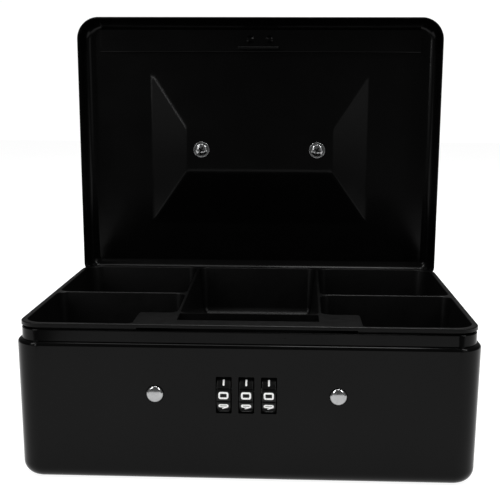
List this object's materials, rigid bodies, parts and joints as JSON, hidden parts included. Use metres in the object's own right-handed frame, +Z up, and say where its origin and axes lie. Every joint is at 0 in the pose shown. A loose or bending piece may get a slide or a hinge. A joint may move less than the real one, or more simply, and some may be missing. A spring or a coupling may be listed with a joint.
{
  "type": "cash box",
  "caption": "Steel cash box with a hinged lid, a lift-out coin tray, a combination lock with push buttons, and a folding wire handle.",
  "frame": {"origin": "middle of the underside of the box, on the surface it stands on", "axes": "+X to the right seen from the front, +Y toward the hinges, +Z up"},
  "size_m": [0.25, 0.205, 0.2604],
  "materials": {
    "black_paint": "satin black powder coat",
    "black_plastic": "moulded black plastic",
    "lock_plastic": "moulded dark grey plastic",
    "chrome": "bright chrome plate",
    "zinc_steel": "zinc-plated steel",
    "spring_steel": "bare spring steel",
    "brass": "turned brass"
  },
  "bodies": {
    "box": {"box_body": "black_paint", "detent_spring": "spring_steel", "dial_axle": "zinc_steel", "hinge_left_body_leaf": "black_paint", "hinge_left_body_rivet_a": "zinc_steel", "hinge_left_body_rivet_b": "zinc_steel", "hinge_left_pin": "zinc_steel", "hinge_right_body_leaf": "black_paint", "hinge_right_body_rivet_a": "zinc_steel", "hinge_right_body_rivet_b": "zinc_steel", "hinge_right_pin": "zinc_steel", "latch_spring_left": "spring_steel", "latch_spring_right": "spring_steel", "lock_case": "lock_plastic", "lock_nut_1": "zinc_steel", "lock_nut_2": "zinc_steel", "lock_nut_3": "zinc_steel", "lock_nut_4": "zinc_steel", "lock_stud_1": "zinc_steel", "lock_stud_2": "zinc_steel", "lock_stud_3": "zinc_steel", "lock_stud_4": "zinc_steel"},
    "lid": {"handle_post_left": "chrome", "handle_post_right": "chrome", "handle_screw_left": "chrome", "handle_screw_right": "chrome", "handle_washer_left": "chrome", "handle_washer_right": "chrome", "hinge_left_lid_leaf": "black_paint", "hinge_left_lid_rivet_a": "zinc_steel", "hinge_left_lid_rivet_b": "zinc_steel", "hinge_right_lid_leaf": "black_paint", "hinge_right_lid_rivet_a": "zinc_steel", "hinge_right_lid_rivet_b": "zinc_steel", "lid_front_rail": "black_paint", "lid_shell": "black_paint", "lid_strike": "black_paint", "strike_rivet_left": "black_paint", "strike_rivet_right": "black_paint"},
    "handle": {"handle_bail": "chrome"},
    "tray": {"coin_tray": "black_plastic"},
    "dial_1": {"dial_cam_1": "brass", "dial_wheel_1": "black_plastic"},
    "dial_2": {"dial_cam_2": "brass", "dial_wheel_2": "black_plastic"},
    "dial_3": {"dial_cam_3": "brass", "dial_wheel_3": "black_plastic"},
    "latch": {"latch_bar": "zinc_steel"},
    "button_left": {"button_left": "chrome"},
    "button_right": {"button_right": "chrome"}
  },
  "joints": [
    {"name": "lid_hinge", "type": "hinge", "parent": "box", "child": "lid", "pos_m": [0, 0.0922, 0.0778], "axis": [-1, 0, 0], "range_deg": [-87.7, 0]},
    {"name": "handle_hinge", "type": "hinge", "parent": "lid", "child": "handle", "pos_m": [0, 0.10633, 0.16944], "axis": [1, 0, 0], "range_deg": [0, 174]},
    {"name": "tray_lift", "type": "slide", "parent": "box", "child": "tray", "axis": [0, 0, 1], "range_m": [0, 0.06]},
    {"name": "dial_1_turn", "type": "hinge", "parent": "box", "child": "dial_1", "pos_m": [-0.012, -0.0811, 0.0496], "axis": [1, 0, 0], "continuous": true},
    {"name": "dial_2_turn", "type": "hinge", "parent": "box", "child": "dial_2", "pos_m": [0, -0.0811, 0.0496], "axis": [1, 0, 0], "continuous": true},
    {"name": "dial_3_turn", "type": "hinge", "parent": "box", "child": "dial_3", "pos_m": [0.012, -0.0811, 0.0496], "axis": [1, 0, 0], "continuous": true},
    {"name": "latch_slide", "type": "slide", "parent": "box", "child": "latch", "axis": [0, 1, 0], "range_m": [0, 0.0028], "stiffness_N_per_m": 500, "springref_m": -0.004, "deforming": ["latch_spring_left", "latch_spring_right"]},
    {"name": "button_left_press", "type": "slide", "parent": "box", "child": "button_left", "axis": [0, 1, 0], "range_m": [0, 0.0028]},
    {"name": "button_right_press", "type": "slide", "parent": "box", "child": "button_right", "axis": [0, 1, 0], "range_m": [0, 0.0028]}
  ],
  "couplings": [
    {"joint": "button_left_press", "follows": "latch_slide", "ratio": 1},
    {"joint": "button_right_press", "follows": "latch_slide", "ratio": 1}
  ]
}
